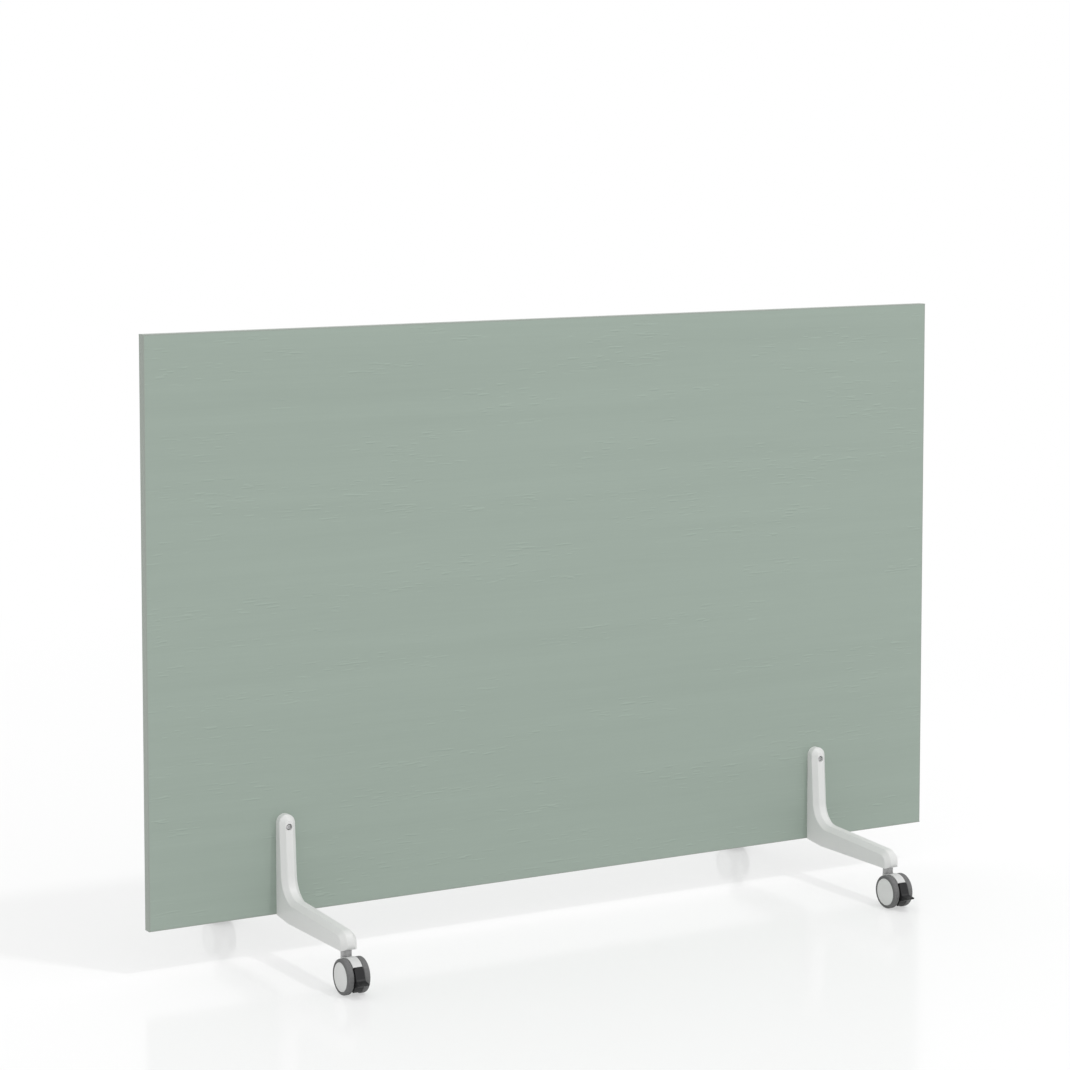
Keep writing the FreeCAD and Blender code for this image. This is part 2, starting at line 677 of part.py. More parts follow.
def build_hood(label, side, face):
    """Caster hood about the axle, reaching out along +Y: swivel socket, roof, axle boss and pedal tongue."""
    body = new_body(label)
    roof_end = "(sizes.pedal_top_angle + sizes.pedal_gap_angle)"
    roof_inner = f"({HOOD_RADIUS} - sizes.hood_roof)"
    throat = "sizes.hood_throat_angle"
    flat_start = f"sqrt({HOOD_RADIUS} ^ 2 - {HOOD_FLAT} ^ 2)"
    boss = "(sizes.boss_diameter / 2)"
    profile = new_sketch(body, label + "_profile", "YZ_Plane")
    outline(profile, (
        (f"{HOOD_RADIUS} * cos({roof_end})", f"{HOOD_RADIUS} * sin({roof_end})"),
        (f"-{flat_start}", HOOD_FLAT),
        ("-sizes.hood_tail", HOOD_FLAT),
        ("-sizes.hood_tail", "-sizes.hood_skirt"),
        (f"-{boss}", f"-{boss}"),
        ("0", f"-{boss}"),
        (boss, "0"),
        (boss, f"{boss}"),
        (f"{roof_inner} * cos({throat})", f"{roof_inner} * sin({throat})"),
        (f"{roof_inner} * cos({roof_end})", f"{roof_inner} * sin({roof_end})"),
    ), arcs={0: (HOOD_RADIUS, True), 5: (boss, True), 8: (roof_inner, False)})
    pad(body, profile, HOOD_WIDTH, symmetric=True)
    half = number(f"{HOOD_WIDTH} / 2")
    flat = number(HOOD_FLAT)
    dip = -number(flat_start)
    tail = -number("sizes.hood_tail")
    tail_from = number("sizes.hood_tail_round - sizes.hood_tail")
    roof_from = number(f"{HOOD_FLAT} - sizes.hood_dip_round")
    dress(body, "Fillet", "Radius", "sizes.hood_dip_round",
          lambda middle, edge: near(middle.z, flat) and near(middle.y, dip))
    dress(body, "Fillet", "Radius", "sizes.hood_tail_round",
          lambda middle, edge: near(abs(middle.x), half) and near(middle.y, tail))

    def on_rim(middle, edge):
        """Both sides of the roof and the rounded tail's upper edge."""
        on_tail = near(middle.z, flat) and middle.y < tail_from
        return on_tail or (near(abs(middle.x), half) and middle.z > roof_from)

    dress(body, "Fillet", "Radius", "sizes.hood_edge_round", on_rim)

    # The tongue carries the pedal's pin
    tongue = new_sketch(body, label + "_tongue", "YZ_Plane")
    outline(tongue, (
        ("0", f"{boss} - sizes.running_fit"),
        ("0", f"-{boss} + sizes.running_fit"),
        (ROCKER_OUT, f"-{ROCKER_DOWN} - sizes.tongue_round"),
        (ROCKER_OUT, f"-{ROCKER_DOWN} + sizes.tongue_round"),
    ))
    pad(body, tongue, "sizes.tongue_width", symmetric=True)
    eye = new_sketch(body, label + "_eye", "YZ_Plane")
    circle(eye, ROCKER_OUT, f"-{ROCKER_DOWN}", "sizes.tongue_round")
    pad(body, eye, "sizes.tongue_width", symmetric=True)

    # Swivel socket with a groove for the grip ring, about the stem's axis
    wall = "(sizes.pivot_diameter / 2 + sizes.running_fit)"
    groove_wall = f"({RING_OUTER} + sizes.ring_room)"
    socket = new_sketch(body, label + "_socket", "YZ_Plane", shift="-sizes.trail")
    outline(socket, (
        ("0", f"{PIVOT_END} - sizes.pivot_spare - {WHEEL_RADIUS}"),
        (wall, f"{PIVOT_END} - sizes.pivot_spare - {WHEEL_RADIUS}"),
        (wall, f"{RING_LOW} - sizes.ring_room - {WHEEL_RADIUS}"),
        (groove_wall, f"{RING_LOW} - sizes.ring_room - {WHEEL_RADIUS}"),
        (groove_wall, f"{RING_HIGH} + sizes.ring_room - {WHEEL_RADIUS}"),
        (wall, f"{RING_HIGH} + sizes.ring_room - {WHEEL_RADIUS}"),
        (wall, HOOD_RADIUS),
        ("0", HOOD_RADIUS),
    ))
    volume = body.Tip.Shape.Volume
    revolve(body, socket, "V_Axis", kind="Groove")
    if body.Tip.Shape.Volume >= volume:
        raise RuntimeError(f"{label}: the socket cuts nothing")

    bores = new_sketch(body, label + "_bores", "YZ_Plane")
    circle(bores, "0", "0", "sizes.axle_diameter / 2 + sizes.running_fit")
    circle(bores, ROCKER_OUT, f"-{ROCKER_DOWN}", "sizes.pedal_pin_diameter / 2 + sizes.running_fit")
    pocket(body, bores, "2 * sizes.wheel_gap", symmetric=True)
    at_axle(body, side, face)


def at_axle(body, side, face):
    turn = 0 if face > 0 else HALF_TURN
    place(body, f"{side} * {FOOT}", f"{face} * {AXLE}", WHEEL_RADIUS, turn=turn)


def build_axle(label, side, face):
    """Axle with a riveted head at each end, outside the wheels' hubs."""
    body = new_body(label)
    head_face = f"(sizes.wheel_gap / 2 + {WEB_FACE} + sizes.axle_end_gap)"
    end = f"({head_face} + sizes.axle_head_height)"
    half = new_sketch(body, label + "_half", "XY_Plane")
    outline(half, (
        (f"-{end}", "0"),
        (end, "0"),
        (end, "sizes.axle_head_diameter / 2"),
        (head_face, "sizes.axle_head_diameter / 2"),
        (head_face, "sizes.axle_diameter / 2"),
        (f"-{head_face}", "sizes.axle_diameter / 2"),
        (f"-{head_face}", "sizes.axle_head_diameter / 2"),
        (f"-{end}", "sizes.axle_head_diameter / 2"),
    ))
    revolve(body, half, "H_Axis")
    at_axle(body, side, face)


def build_pedal(label, side, face):
    """Brake pedal about the axle, reaching out along +Y: a rocker with a toe lip and two brake lugs."""
    body = new_body(label)
    top = "sizes.pedal_top_angle"
    low = "sizes.pedal_low_angle"
    lip = "sizes.pedal_lip_angle"
    lip_end = f"({WHEEL_RADIUS} + sizes.lip_reach)"
    outer = f"({HOOD_RADIUS} + sizes.pedal_proud)"
    inner = f"({HOOD_RADIUS} - sizes.pedal_wall)"
    behind = f"({ROCKER_OUT} - sizes.rocker_boss)"
    lug_back = f"({LUG_OUT} - sizes.lug_diameter / 2 - sizes.lug_wall)"
    profile = new_sketch(body, label + "_profile", "YZ_Plane")
    outline(profile, (
        (f"{outer} * cos({top})", f"{outer} * sin({top})"),
        (f"{inner} * cos({top})", f"{inner} * sin({top})"),
        (lug_back, LUG_UP),
        (behind, f"-{ROCKER_DOWN} + sizes.rocker_boss / 2"),
        (behind, f"-{ROCKER_DOWN} - sizes.rocker_boss / 2"),
        (f"{inner} * cos({low})", f"-{inner} * sin({low})"),
        (f"{HOOD_RADIUS} * cos({low})", f"-{HOOD_RADIUS} * sin({low})"),
        (f"{HOOD_RADIUS} * cos({lip})", f"-{HOOD_RADIUS} * sin({lip})"),
        (lip_end, "-sizes.lip_drop - sizes.lip_thickness"),
        (lip_end, "-sizes.lip_drop"),
        (f"{WHEEL_RADIUS} + sizes.lip_root", "-sizes.lip_root_drop"),
    ), arcs={6: (HOOD_RADIUS, True)})
    pad(body, profile, PEDAL_WIDTH, symmetric=True)

    root = Vector(0, number(f"{WHEEL_RADIUS} + sizes.lip_root"), -number("sizes.lip_root_drop"))
    crest = Vector(0, number(f"{outer} * cos({top})"), number(f"{outer} * sin({top})"))
    shoulder = Vector(0, number(f"{inner} * cos({top})"), number(f"{inner} * sin({top})"))
    half = number(f"{PEDAL_WIDTH} / 2")
    dress(body, "Fillet", "Radius", "sizes.lip_round",
          lambda middle, edge: (middle - root).Length < TOLERANCE)

    def on_top_corner(middle, edge):
        """The two corners of the tread's top, seen from the front."""
        across = Vector(0, middle.y, middle.z) - (crest + shoulder) / 2
        return near(abs(middle.x), half) and across.Length < TOLERANCE

    dress(body, "Fillet", "Radius", "sizes.pedal_corner_round", on_top_corner)
    tread_from = shoulder.y
    tip = number(lip_end)

    def on_tread(middle, edge):
        """The crest, both sides of the tread and of the lip, and the lip's tip."""
        if near(middle.y, tip) or (middle - crest).Length < TOLERANCE:
            return True
        on_side = near(abs(middle.x), half) and middle.y > tread_from
        return on_side and middle.z > -tread_from

    dress(body, "Fillet", "Radius", "sizes.pedal_edge_round", on_tread)

    # Slot for the hood's tongue
    slot = new_sketch(body, label + "_slot", "YZ_Plane")
    slot_low = f"-{ROCKER_DOWN} - sizes.slot_drop"
    rectangle(slot, "0", f"{ROCKER_OUT} + sizes.slot_end", slot_low, f"{inner} * sin({top})")
    pocket(body, slot, "sizes.tongue_width + 2 * sizes.slot_room", symmetric=True)

    lugs = new_sketch(body, label + "_lugs", "YZ_Plane")
    circle(lugs, LUG_OUT, LUG_UP, "sizes.lug_diameter / 2")
    pad(body, lugs, "sizes.wheel_gap + 2 * sizes.lug_bite", symmetric=True)
    gap = new_sketch(body, label + "_lug_gap", "YZ_Plane")
    circle(gap, LUG_OUT, LUG_UP, "sizes.lug_diameter / 2 + sizes.slot_room")
    pocket(body, gap, "sizes.tongue_width + 2 * sizes.slot_room", symmetric=True)

    bore = new_sketch(body, label + "_bore", "YZ_Plane")
    circle(bore, ROCKER_OUT, f"-{ROCKER_DOWN}", "sizes.pedal_pin_diameter / 2 + sizes.running_fit")
    pocket(body, bore, "2 * sizes.wheel_gap", symmetric=True)
    at_axle(body, side, face)


def build_pedal_pin(label, side, face):
    body = new_body(label)
    section = new_sketch(body, label + "_section", "YZ_Plane")
    circle(section, ROCKER_OUT, f"-{ROCKER_DOWN}", "sizes.pedal_pin_diameter / 2")
    pad(body, section, PEDAL_WIDTH, symmetric=True)
    at_axle(body, side, face)


def wheel_half(label):
    """Body and half-section sketch of a wheel piece: X from the wheel's inner face outwards, radius up."""
    body = new_body(label)
    return body, new_sketch(body, label + "_half", "XY_Plane")


def at_wheel(body, side, face, wheel_side):
    x = f"{side} * {FOOT} + {wheel_side} * sizes.wheel_gap / 2"
    place(body, x, f"{face} * {AXLE}", WHEEL_RADIUS, turn=0 if wheel_side > 0 else HALF_TURN)


def build_rim(label, side, face, wheel_side):
    """Hub, web and ring, with a brake drum on the inner side and a seat for the cap outside."""
    body, half = wheel_half(label)
    bore = "(sizes.axle_diameter / 2 + sizes.running_fit)"
    ledge = f"({CAP_RADIUS} - sizes.cap_ledge)"
    outline(half, (
        ("0", bore),
        (WEB_FACE, bore),
        (WEB_FACE, ledge),
        (CAP_SEAT, ledge),
        (CAP_SEAT, RIM_RADIUS),
        ("sizes.tyre_lip", RIM_RADIUS),
        ("sizes.tyre_lip", DRUM_RADIUS),
        ("sizes.drum_depth", DRUM_RADIUS),
        ("sizes.drum_depth", "sizes.hub_diameter / 2"),
        ("0", "sizes.hub_diameter / 2"),
    ))
    revolve(body, half, "H_Axis")
    at_wheel(body, side, face, wheel_side)


def build_tyre(label, side, face, wheel_side):
    """Soft tyre moulded round the rim, with lips over both its sides and rounded shoulders."""
    body, half = wheel_half(label)
    outer_round = "sizes.tyre_outer_round"
    inner_round = "sizes.tyre_inner_round"
    outline(half, (
        ("0", DRUM_RADIUS),
        ("sizes.tyre_lip", DRUM_RADIUS),
        ("sizes.tyre_lip", RIM_RADIUS),
        (CAP_SEAT, RIM_RADIUS),
        (CAP_SEAT, LIP_RADIUS),
        ("sizes.wheel_width", LIP_RADIUS),
        ("sizes.wheel_width", f"{WHEEL_RADIUS} - {outer_round}"),
        (f"sizes.wheel_width - {outer_round}", WHEEL_RADIUS),
        (inner_round, WHEEL_RADIUS),
        ("0", f"{WHEEL_RADIUS} - {inner_round}"),
    ), arcs={6: (outer_round, True), 8: (inner_round, True)})
    revolve(body, half, "H_Axis")
    at_wheel(body, side, face, wheel_side)


def build_cap(label, side, face, wheel_side):
    """Plain disc that closes the wheel's outer side."""
    body, half = wheel_half(label)
    face_x = f"{CAP_SEAT} + sizes.cap_thickness"
    outline(half, (
        (CAP_SEAT, "0"),
        (face_x, "0"),
        (face_x, f"{CAP_RADIUS} - sizes.cap_bevel"),
        (f"{face_x} - sizes.cap_bevel", CAP_RADIUS),
        (CAP_SEAT, CAP_RADIUS),
    ))
    revolve(body, half, "H_Axis")
    at_wheel(body, side, face, wheel_side)


def build_caster(foot, side, face):
    build_hood(f"{foot}_hood", side, face)
    build_axle(f"{foot}_axle", side, face)
    build_pedal(f"{foot}_brake_pedal", side, face)
    build_pedal_pin(f"{foot}_pedal_pin", side, face)
    for place_name, wheel_side in (("outer", side), ("inner", -side)):
        build_rim(f"{foot}_{place_name}_rim", side, face, wheel_side)
        build_tyre(f"{foot}_{place_name}_tyre", side, face, wheel_side)
        build_cap(f"{foot}_{place_name}_cap", side, face, wheel_side)


def check_document():
    """Stop before anything is written if an object failed or a sub-part has no sound solid."""
    doc.recompute()
    for item in doc.Objects:
        if "Invalid" in item.State or "Error" in item.State:
            raise RuntimeError(f"{item.Label}: {item.State}")
    for item in sub_parts:
        if item.Shape.isNull() or not item.Shape.isValid() or not item.Shape.Solids:
            raise RuntimeError(f"{item.Label}: no sound solid")


def write_parts():
    os.makedirs("parts", exist_ok=True)
    for item in sub_parts:
        item.Shape.exportStep(os.path.join("parts", item.Label + ".step"))
        print(f"{item.Label}: {len(item.Shape.Solids)} solid(s), {item.Shape.Volume:.0f} mm3")


build_board()
for foot, side, face in FEET:
    build_arm(f"arm_{foot}", side, face)
build_fixings()
group("caster_stems", [build_stem(f"stem_{foot}", side, face) for foot, side, face in FEET])
group("stem_grip_rings", [build_grip_ring(f"grip_ring_{foot}", side, face) for foot, side, face in FEET])
for foot, side, face in FEET:
    build_caster(foot, side, face)
check_document()
write_parts()
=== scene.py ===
import math

import bmesh
import bpy
from bpy.props import FloatProperty, FloatVectorProperty, PointerProperty
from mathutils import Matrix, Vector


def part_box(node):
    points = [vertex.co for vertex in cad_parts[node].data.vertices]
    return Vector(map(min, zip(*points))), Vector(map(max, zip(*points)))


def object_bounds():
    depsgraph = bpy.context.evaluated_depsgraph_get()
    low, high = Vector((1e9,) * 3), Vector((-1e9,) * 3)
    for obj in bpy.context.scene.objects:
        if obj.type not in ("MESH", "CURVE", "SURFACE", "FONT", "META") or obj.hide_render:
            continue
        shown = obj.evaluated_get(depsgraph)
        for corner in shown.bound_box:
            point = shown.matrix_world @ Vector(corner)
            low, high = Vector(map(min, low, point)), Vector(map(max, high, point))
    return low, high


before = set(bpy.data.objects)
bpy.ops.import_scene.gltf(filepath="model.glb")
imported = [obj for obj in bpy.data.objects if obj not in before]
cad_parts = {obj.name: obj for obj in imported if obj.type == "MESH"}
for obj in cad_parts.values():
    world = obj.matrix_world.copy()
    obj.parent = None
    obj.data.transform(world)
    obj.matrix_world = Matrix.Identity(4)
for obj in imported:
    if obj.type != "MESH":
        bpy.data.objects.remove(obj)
CAD_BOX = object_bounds()

bl_info = {
    "name": "Room divider on wheels",
    "version": (1, 0, 0),
    "blender": (4, 5, 0),
    "location": "3D View > Sidebar > Divider",
    "description": "Finishes of a mobile room divider and the studio that it stands in",
    "category": "Object",
}

FEET = ("front_left", "front_right", "rear_left", "rear_right")
WHEELS = ("outer", "inner")
FACE_SHEETS = ("front_face_sheet", "rear_face_sheet")
EDGE_BANDS = ("edge_band_top", "edge_band_bottom", "edge_band_left", "edge_band_right")
PLATED = ("lower_tie_bolts", "lower_tie_nuts", "lower_tie_washers", "caster_stems", "stem_grip_rings")
TURN = 2 * math.pi

# Middle of a noise texture's values.
MEAN = 0.5

# Repeats of a pattern in one metre along the board, through it and up it.
GRAIN_WAVES = (1.7, 1, 6)
GRAIN_BANDS = (1.3, 30, 34)
GRAIN_STREAKS = (8, 30, 380)
PORE_GROUPS = (4, 30, 24)
PORE_LAYERS = 30
CHIP_FIBRES = (300, 1400, 300)
BOLT_SCRATCHES = (3500, 200, 3500)

# Repeats in one metre of a pattern that is alike in all directions.
BAND_PEARLS = 1500
BAND_CLOUDS = 14
CHIPS = 420
COAT_CLOUDS = 18
BOLT_CLOUDS = 400
ZINC_SPANGLES = 700
ZINC_CLOUDS = 260
PLASTIC_FLOWS = 60
TYRE_SCUFFS = 240
TYRE_GRAINS = 1300

# Specks of the powder coat across one of its dimples.
COAT_SPECKS = 2.6

# Noise values between which a mark fades in.
PORE_EDGE = (0.62, 0.72)
GROUP_EDGE = (0.51, 0.62)
SCUFF_EDGE = (0.3, 0.7)

# Heights and depths in metres.
WAVE_HEIGHT = 0.014
PEARL_DEPTH = 0.00003
CHIP_DEPTH = 0.0002
SCRATCH_DEPTH = 0.000015
ZINC_DEPTH = 0.00002
MOULD_DEPTH = 0.00002
PEDAL_DEPTH = 0.00004
TYRE_DEPTH = 0.00003
TYRE_RING = 0.0011
TREAD_INSIDE = 0.0022
TREAD_OUTSIDE = 0.0003

# Half a side of the floor, and how far from the object its fading starts and ends, in metres.
FLOOR_REACH = 60
FLOOR_FADE = (1.4, 3.6)

# Squares along a side of the floor.
FLOOR_SQUARES = 8


def middle(node):
    """Middle of a node's box at rest."""
    low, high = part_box(node)
    return (low + high) / 2


def span(node):
    """Size of a node's box at rest."""
    low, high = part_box(node)
    return high - low


def colour_property(name, description, default):
    return FloatVectorProperty(name=name, description=description, default=default, size=3,
                               min=0, max=1, subtype="COLOR")


def length_property(name, description, default):
    return FloatProperty(name=name, description=description, default=default, min=0, precision=5,
                         subtype="DISTANCE", unit="LENGTH")


def share_property(name, description, default):
    return FloatProperty(name=name, description=description, default=default, min=0, max=1, subtype="FACTOR")


class BoardFinish(bpy.types.PropertyGroup):
    """Laminate and edge bands of the board."""

    laminate: colour_property("Laminate", "Colour of both faces", (0.320, 0.386, 0.336))
    band: colour_property("Edge band", "Colour of the edge bands", (0.305, 0.345, 0.307))
    chips: colour_property("Core", "Colour of the chipboard core", (0.52, 0.37, 0.22))
    pore_length: length_property("Pore length", "Length of one embossed pore along the grain", 0.036)
    pore_height: length_property("Pore height", "Height of one embossed pore across the grain", 0.0028)
    pore_depth: length_property("Pore depth", "Depth of the embossing", 0.0001)
    # The contrast also sets how strong the painted highlight and painted shadow of the pores are.
    contrast: share_property("Grain contrast", "How much the printed grain differs from the base colour", 0.5)


class ArmFinish(bpy.types.PropertyGroup):
    """Powder coat of the cast arms and metal of their fixings."""

    coat: colour_property("Powder coat", "Colour of the arms", (0.745, 0.75, 0.74))
    peel: length_property("Orange peel", "Width of one dimple of the powder coat", 0.0011)
    peel_depth: length_property("Peel depth", "Depth of the dimples", 0.00003)
    steel: colour_property("Bolt steel", "Colour of the bolts in the uprights", (0.60, 0.60, 0.605))
    zinc: colour_property("Zinc", "Colour of the plated steel", (0.46, 0.46, 0.46))


class CasterFinish(bpy.types.PropertyGroup):
    """Plastics and tyres of the casters."""

    hood: colour_property("Hood", "Colour of the moulded hoods and rims", (0.64, 0.645, 0.64))
    cap: colour_property("Wheel cap", "Colour of the discs that close the wheels", (0.74, 0.745, 0.735))
    tyre: colour_property("Tyre", "Colour of the tyres", (0.132, 0.133, 0.134))
    tread: colour_property("Tread", "Colour that the tread takes from the floor", (0.165, 0.165, 0.165))
    pedal: colour_property("Pedal", "Colour of the brake pedals", (0.013, 0.013, 0.014))
    grain: length_property("Moulded grain", "Width of one grain of the moulded plastic", 0.0007)


class Studio(bpy.types.PropertyGroup):
    """Floor, light and camera."""

    floor: colour_property("Floor", "Colour of the floor", (0.94, 0.94, 0.94))
    veil: share_property("Floor veil", "How far the floor near the object is lifted to white", 0.5)
    sky: FloatProperty(name="Sky", description="Strength of the even light from all round", default=0.9,
                       min=0)
    key: FloatProperty(name="Key lamp", description="Power of the soft lamp in front", default=235, min=0,
                       subtype="POWER", unit="POWER")
    key_place: FloatVectorProperty(name="Key place", description="Where the lamp hangs", size=3,
                                   default=(2.3, -4.5, 9.0), subtype="TRANSLATION", unit="LENGTH")
    key_size: length_property("Key size", "Side of the square lamp", 0.8)
    eye: FloatVectorProperty(name="Camera", description="Where the camera stands", size=3,
                             default=(-2.78909, -4.72011, 1.44951), subtype="TRANSLATION", unit="LENGTH")
    yaw: FloatProperty(name="Yaw", description="Camera's turn to the right of straight ahead",
                       default=math.radians(30.1166), subtype="ANGLE", unit="ROTATION")
    pitch: FloatProperty(name="Pitch", description="Camera's tilt below the horizon",
                         default=math.radians(4.9414), subtype="ANGLE", unit="ROTATION")
    lens: FloatProperty(name="Lens", description="Focal length on a sensor 36 mm wide, in mm", default=104.31,
                        min=1)
    shift: FloatProperty(name="Rise", description="Vertical shift of the lens, as a share of the frame",
                         default=-0.15)


class Wire:
    """One output of a shader node, that takes part in Python arithmetic."""

    def __init__(self, finish, socket):
        self.finish = finish
        self.socket = socket

    def output(self, name):
        """Another output of the same node."""
        return Wire(self.finish, self.socket.node.outputs[name])

    def step(self, operation, first, second=0):
        return self.finish.node("Math", {"operation": operation}, {0: first, 1: second})

    def __add__(self, other):
        return self.step("ADD", self, other)

    def __radd__(self, other):
        return self.step("ADD", other, self)

    def __sub__(self, other):
        return self.step("SUBTRACT", self, other)

    def __rsub__(self, other):
        return self.step("SUBTRACT", other, self)

    def __mul__(self, other):
        return self.step("MULTIPLY", self, other)

    def __rmul__(self, other):
        return self.step("MULTIPLY", other, self)

    def __pow__(self, other):
        return self.step("POWER", self, other)

    def __abs__(self):
        return self.step("ABSOLUTE", self)


class Finish:
    """Nodes of a material or of the world, written as expressions."""

    def __init__(self, owner):
        owner.use_nodes = True
        self.owner = owner
        self.tree = owner.node_tree
        self.tree.nodes.clear()

    def node(self, kind, settings=None, inputs=None, out=0):
        """Add a node: settings first, then its sockets' values or links; gives one output."""
        made = self.tree.nodes.new("ShaderNode" + kind)
        for name, value in (settings or {}).items():
            setattr(made, name, value)
        for name, value in (inputs or {}).items():
            if isinstance(value, Wire):
                self.tree.links.new(value.socket, made.inputs[name])
            else:
                made.inputs[name].default_value = value
        return Wire(self, made.outputs[out]) if made.outputs else None

    def point(self):
        """The point on the piece at rest, in metres."""
        return self.node("TexCoord", out="Object")

    def axes(self, point):
        split = self.node("SeparateXYZ", inputs={0: point})
        return split, split.output("Y"), split.output("Z")

    def stretched(self, point, x, y, z):
        return self.node("VectorMath", {"operation": "MULTIPLY"}, {0: point, 1: (x, y, z)})

    def noise(self, point, scale=1.0, detail=2.0, roughness=0.5):
        return self.node("TexNoise", inputs={"Vector": point, "Scale": scale, "Detail": detail,
                                             "Roughness": roughness})

    def rise(self, value, low, high):
        """0 below low, 1 above high, smooth between."""
        return self.node("MapRange", {"interpolation_type": "SMOOTHSTEP"},
                         {"Value": value, "From Min": low, "From Max": high})

    def mix(self, share, first, second):
        """Colour between two colours."""
        colours = [c if isinstance(c, Wire) else (*c, 1) for c in (first, second)]
        return self.node("Mix", {"data_type": "RGBA"}, {0: share, 6: colours[0], 7: colours[1]}, out=2)

    def bump(self, height, depth):
        return self.node("Bump", inputs={"Strength": 1, "Distance": depth, "Height": height})

    def surface(self, **sockets):
        """Principled surface; a socket's name is written with underscores."""
        inputs = {}
        for name, value in sockets.items():
            if name == "Base_Color" and not isinstance(value, Wire):
                value = (*value, 1)
            inputs[name.replace("_", " ")] = value
        shader = self.node("BsdfPrincipled", inputs=inputs)
        self.node("OutputMaterial", inputs={"Surface": shader})
        return self.owner


def new_finish(name):
    return Finish(bpy.data.materials.new(name))


def tinted(colour, factor):
    return tuple(min(channel * factor, 1) for channel in colour)


def give(material, *nodes):
    """Put a finish on whole nodes."""
    for name in nodes:
        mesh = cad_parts[name].data
        mesh.materials.clear()
        mesh.materials.append(material)


def grain_point(finish, point):
    """The point moved up and down by slow waves, so that the grain runs in lazy curves."""
    wave = finish.noise(finish.stretched(point, *GRAIN_WAVES), detail=1)
    lift = finish.node("CombineXYZ", inputs={"Z": (wave - MEAN) * WAVE_HEIGHT})
    return finish.node("VectorMath", {"operation": "ADD"}, {0: point, 1: lift})


def embossed(finish, point, settings):
    """Short pores pressed into the face along the grain."""
    along = 1 / settings.pore_length
    across = 1 / settings.pore_height
    pores = finish.noise(finish.stretched(point, along, PORE_LAYERS, across), detail=1)
    return finish.rise(pores, *PORE_EDGE)


def laminate(settings):
    """Sage laminate: faint printed grain along the board, and embossed pores in loose groups, each with a
    painted highlight and a painted shadow just below it.
    """
    finish = new_finish("sage_laminate")
    point = finish.point()
    grain = grain_point(finish, point)
    bands = finish.noise(finish.stretched(grain, *GRAIN_BANDS), detail=2)
    streaks = finish.noise(finish.stretched(grain, *GRAIN_STREAKS), detail=3, roughness=0.6)
    group = finish.rise(finish.noise(finish.stretched(grain, *PORE_GROUPS), detail=2), *GROUP_EDGE)
    # The same pores a little lower, where their painted shadow goes.
    below = finish.node("VectorMath", {"operation": "ADD"}, {0: grain, 1: (0, 0, settings.pore_height * 0.8)})
    pore_and_painted_highlight, shadow = (embossed(finish, place, settings) * group for place in (grain, below))
    # Colour: printed grain, plus a painted highlight on each pore and a painted shadow just below it; only
    # the bump presses the pores in.
    shade = MEAN + (bands - MEAN) * 0.45 + (streaks - MEAN) * 0.35 + pore_and_painted_highlight - shadow * 0.6
    dark = tinted(settings.laminate, 1 - 0.2 * settings.contrast)
    light = tinted(settings.laminate, 1 + 0.2 * settings.contrast)
    return finish.surface(
        Base_Color=finish.mix(shade, dark, light),
        Roughness=0.52 + (streaks - MEAN) * 0.16 + pore_and_painted_highlight * 0.08,
        Normal=finish.bump(streaks * 0.35 - pore_and_painted_highlight, settings.pore_depth),
    )


def edge_band(settings):
    """Edge band: plain plastic with a fine pearl."""
    finish = new_finish("sage_edge_band")
    point = finish.point()
    pearl = finish.noise(point, BAND_PEARLS, detail=1)
    cloud = finish.noise(point, BAND_CLOUDS, detail=2)
    return finish.surface(
        Base_Color=finish.mix(cloud, tinted(settings.band, 0.97), tinted(settings.band, 1.03)),
        Roughness=0.44 + (cloud - MEAN) * 0.1,
        Normal=finish.bump(pearl, PEARL_DEPTH),
    )


def chipboard(settings):
    """Pressed wood chips, seen only inside the bolt holes."""
    finish = new_finish("chipboard")
    point = finish.point()
    flakes = finish.node("TexVoronoi", {"feature": "F1"}, {"Vector": point, "Scale": CHIPS}, out="Color")
    flake = finish.node("SeparateColor", inputs={0: flakes})
    fibre = finish.noise(finish.stretched(point, *CHIP_FIBRES), detail=3)
    tone = flake * 0.7 + fibre * 0.3
    return finish.surface(
        Base_Color=finish.mix(tone, tinted(settings.chips, 0.6), tinted(settings.chips, 1.3)),
        Roughness=0.8 + (fibre - MEAN) * 0.2,
        Normal=finish.bump(tone, CHIP_DEPTH),
    )


def powder_coat(settings):
    """Off-white powder coat with a fine orange peel."""
    finish = new_finish("white_powder_coat")
    point = finish.point()
    peel = finish.noise(point, 1 / settings.peel, detail=2)
    speck = finish.noise(point, COAT_SPECKS / settings.peel, detail=1)
    cloud = finish.noise(point, COAT_CLOUDS, detail=3)
    return finish.surface(
        Base_Color=finish.mix(cloud, tinted(settings.coat, 0.975), tinted(settings.coat, 1.02)),
        Roughness=0.42 + (cloud - MEAN) * 0.12 + (speck - MEAN) * 0.1,
        Normal=finish.bump(peel * 0.7 + speck * 0.3, settings.peel_depth),
    )


def bolt_steel(settings):
    """Dark turned steel of the bolts in the uprights."""
    finish = new_finish("dark_steel")
    point = finish.point()
    cloud = finish.noise(point, BOLT_CLOUDS, detail=3)
    scratch = finish.noise(finish.stretched(point, *BOLT_SCRATCHES), detail=2)
    return finish.surface(
        Base_Color=finish.mix(cloud, tinted(settings.steel, 0.8), tinted(settings.steel, 1.15)),
        Metallic=1.0,
        Roughness=0.36 + (cloud - MEAN) * 0.2,
        Normal=finish.bump(scratch, SCRATCH_DEPTH),
    )


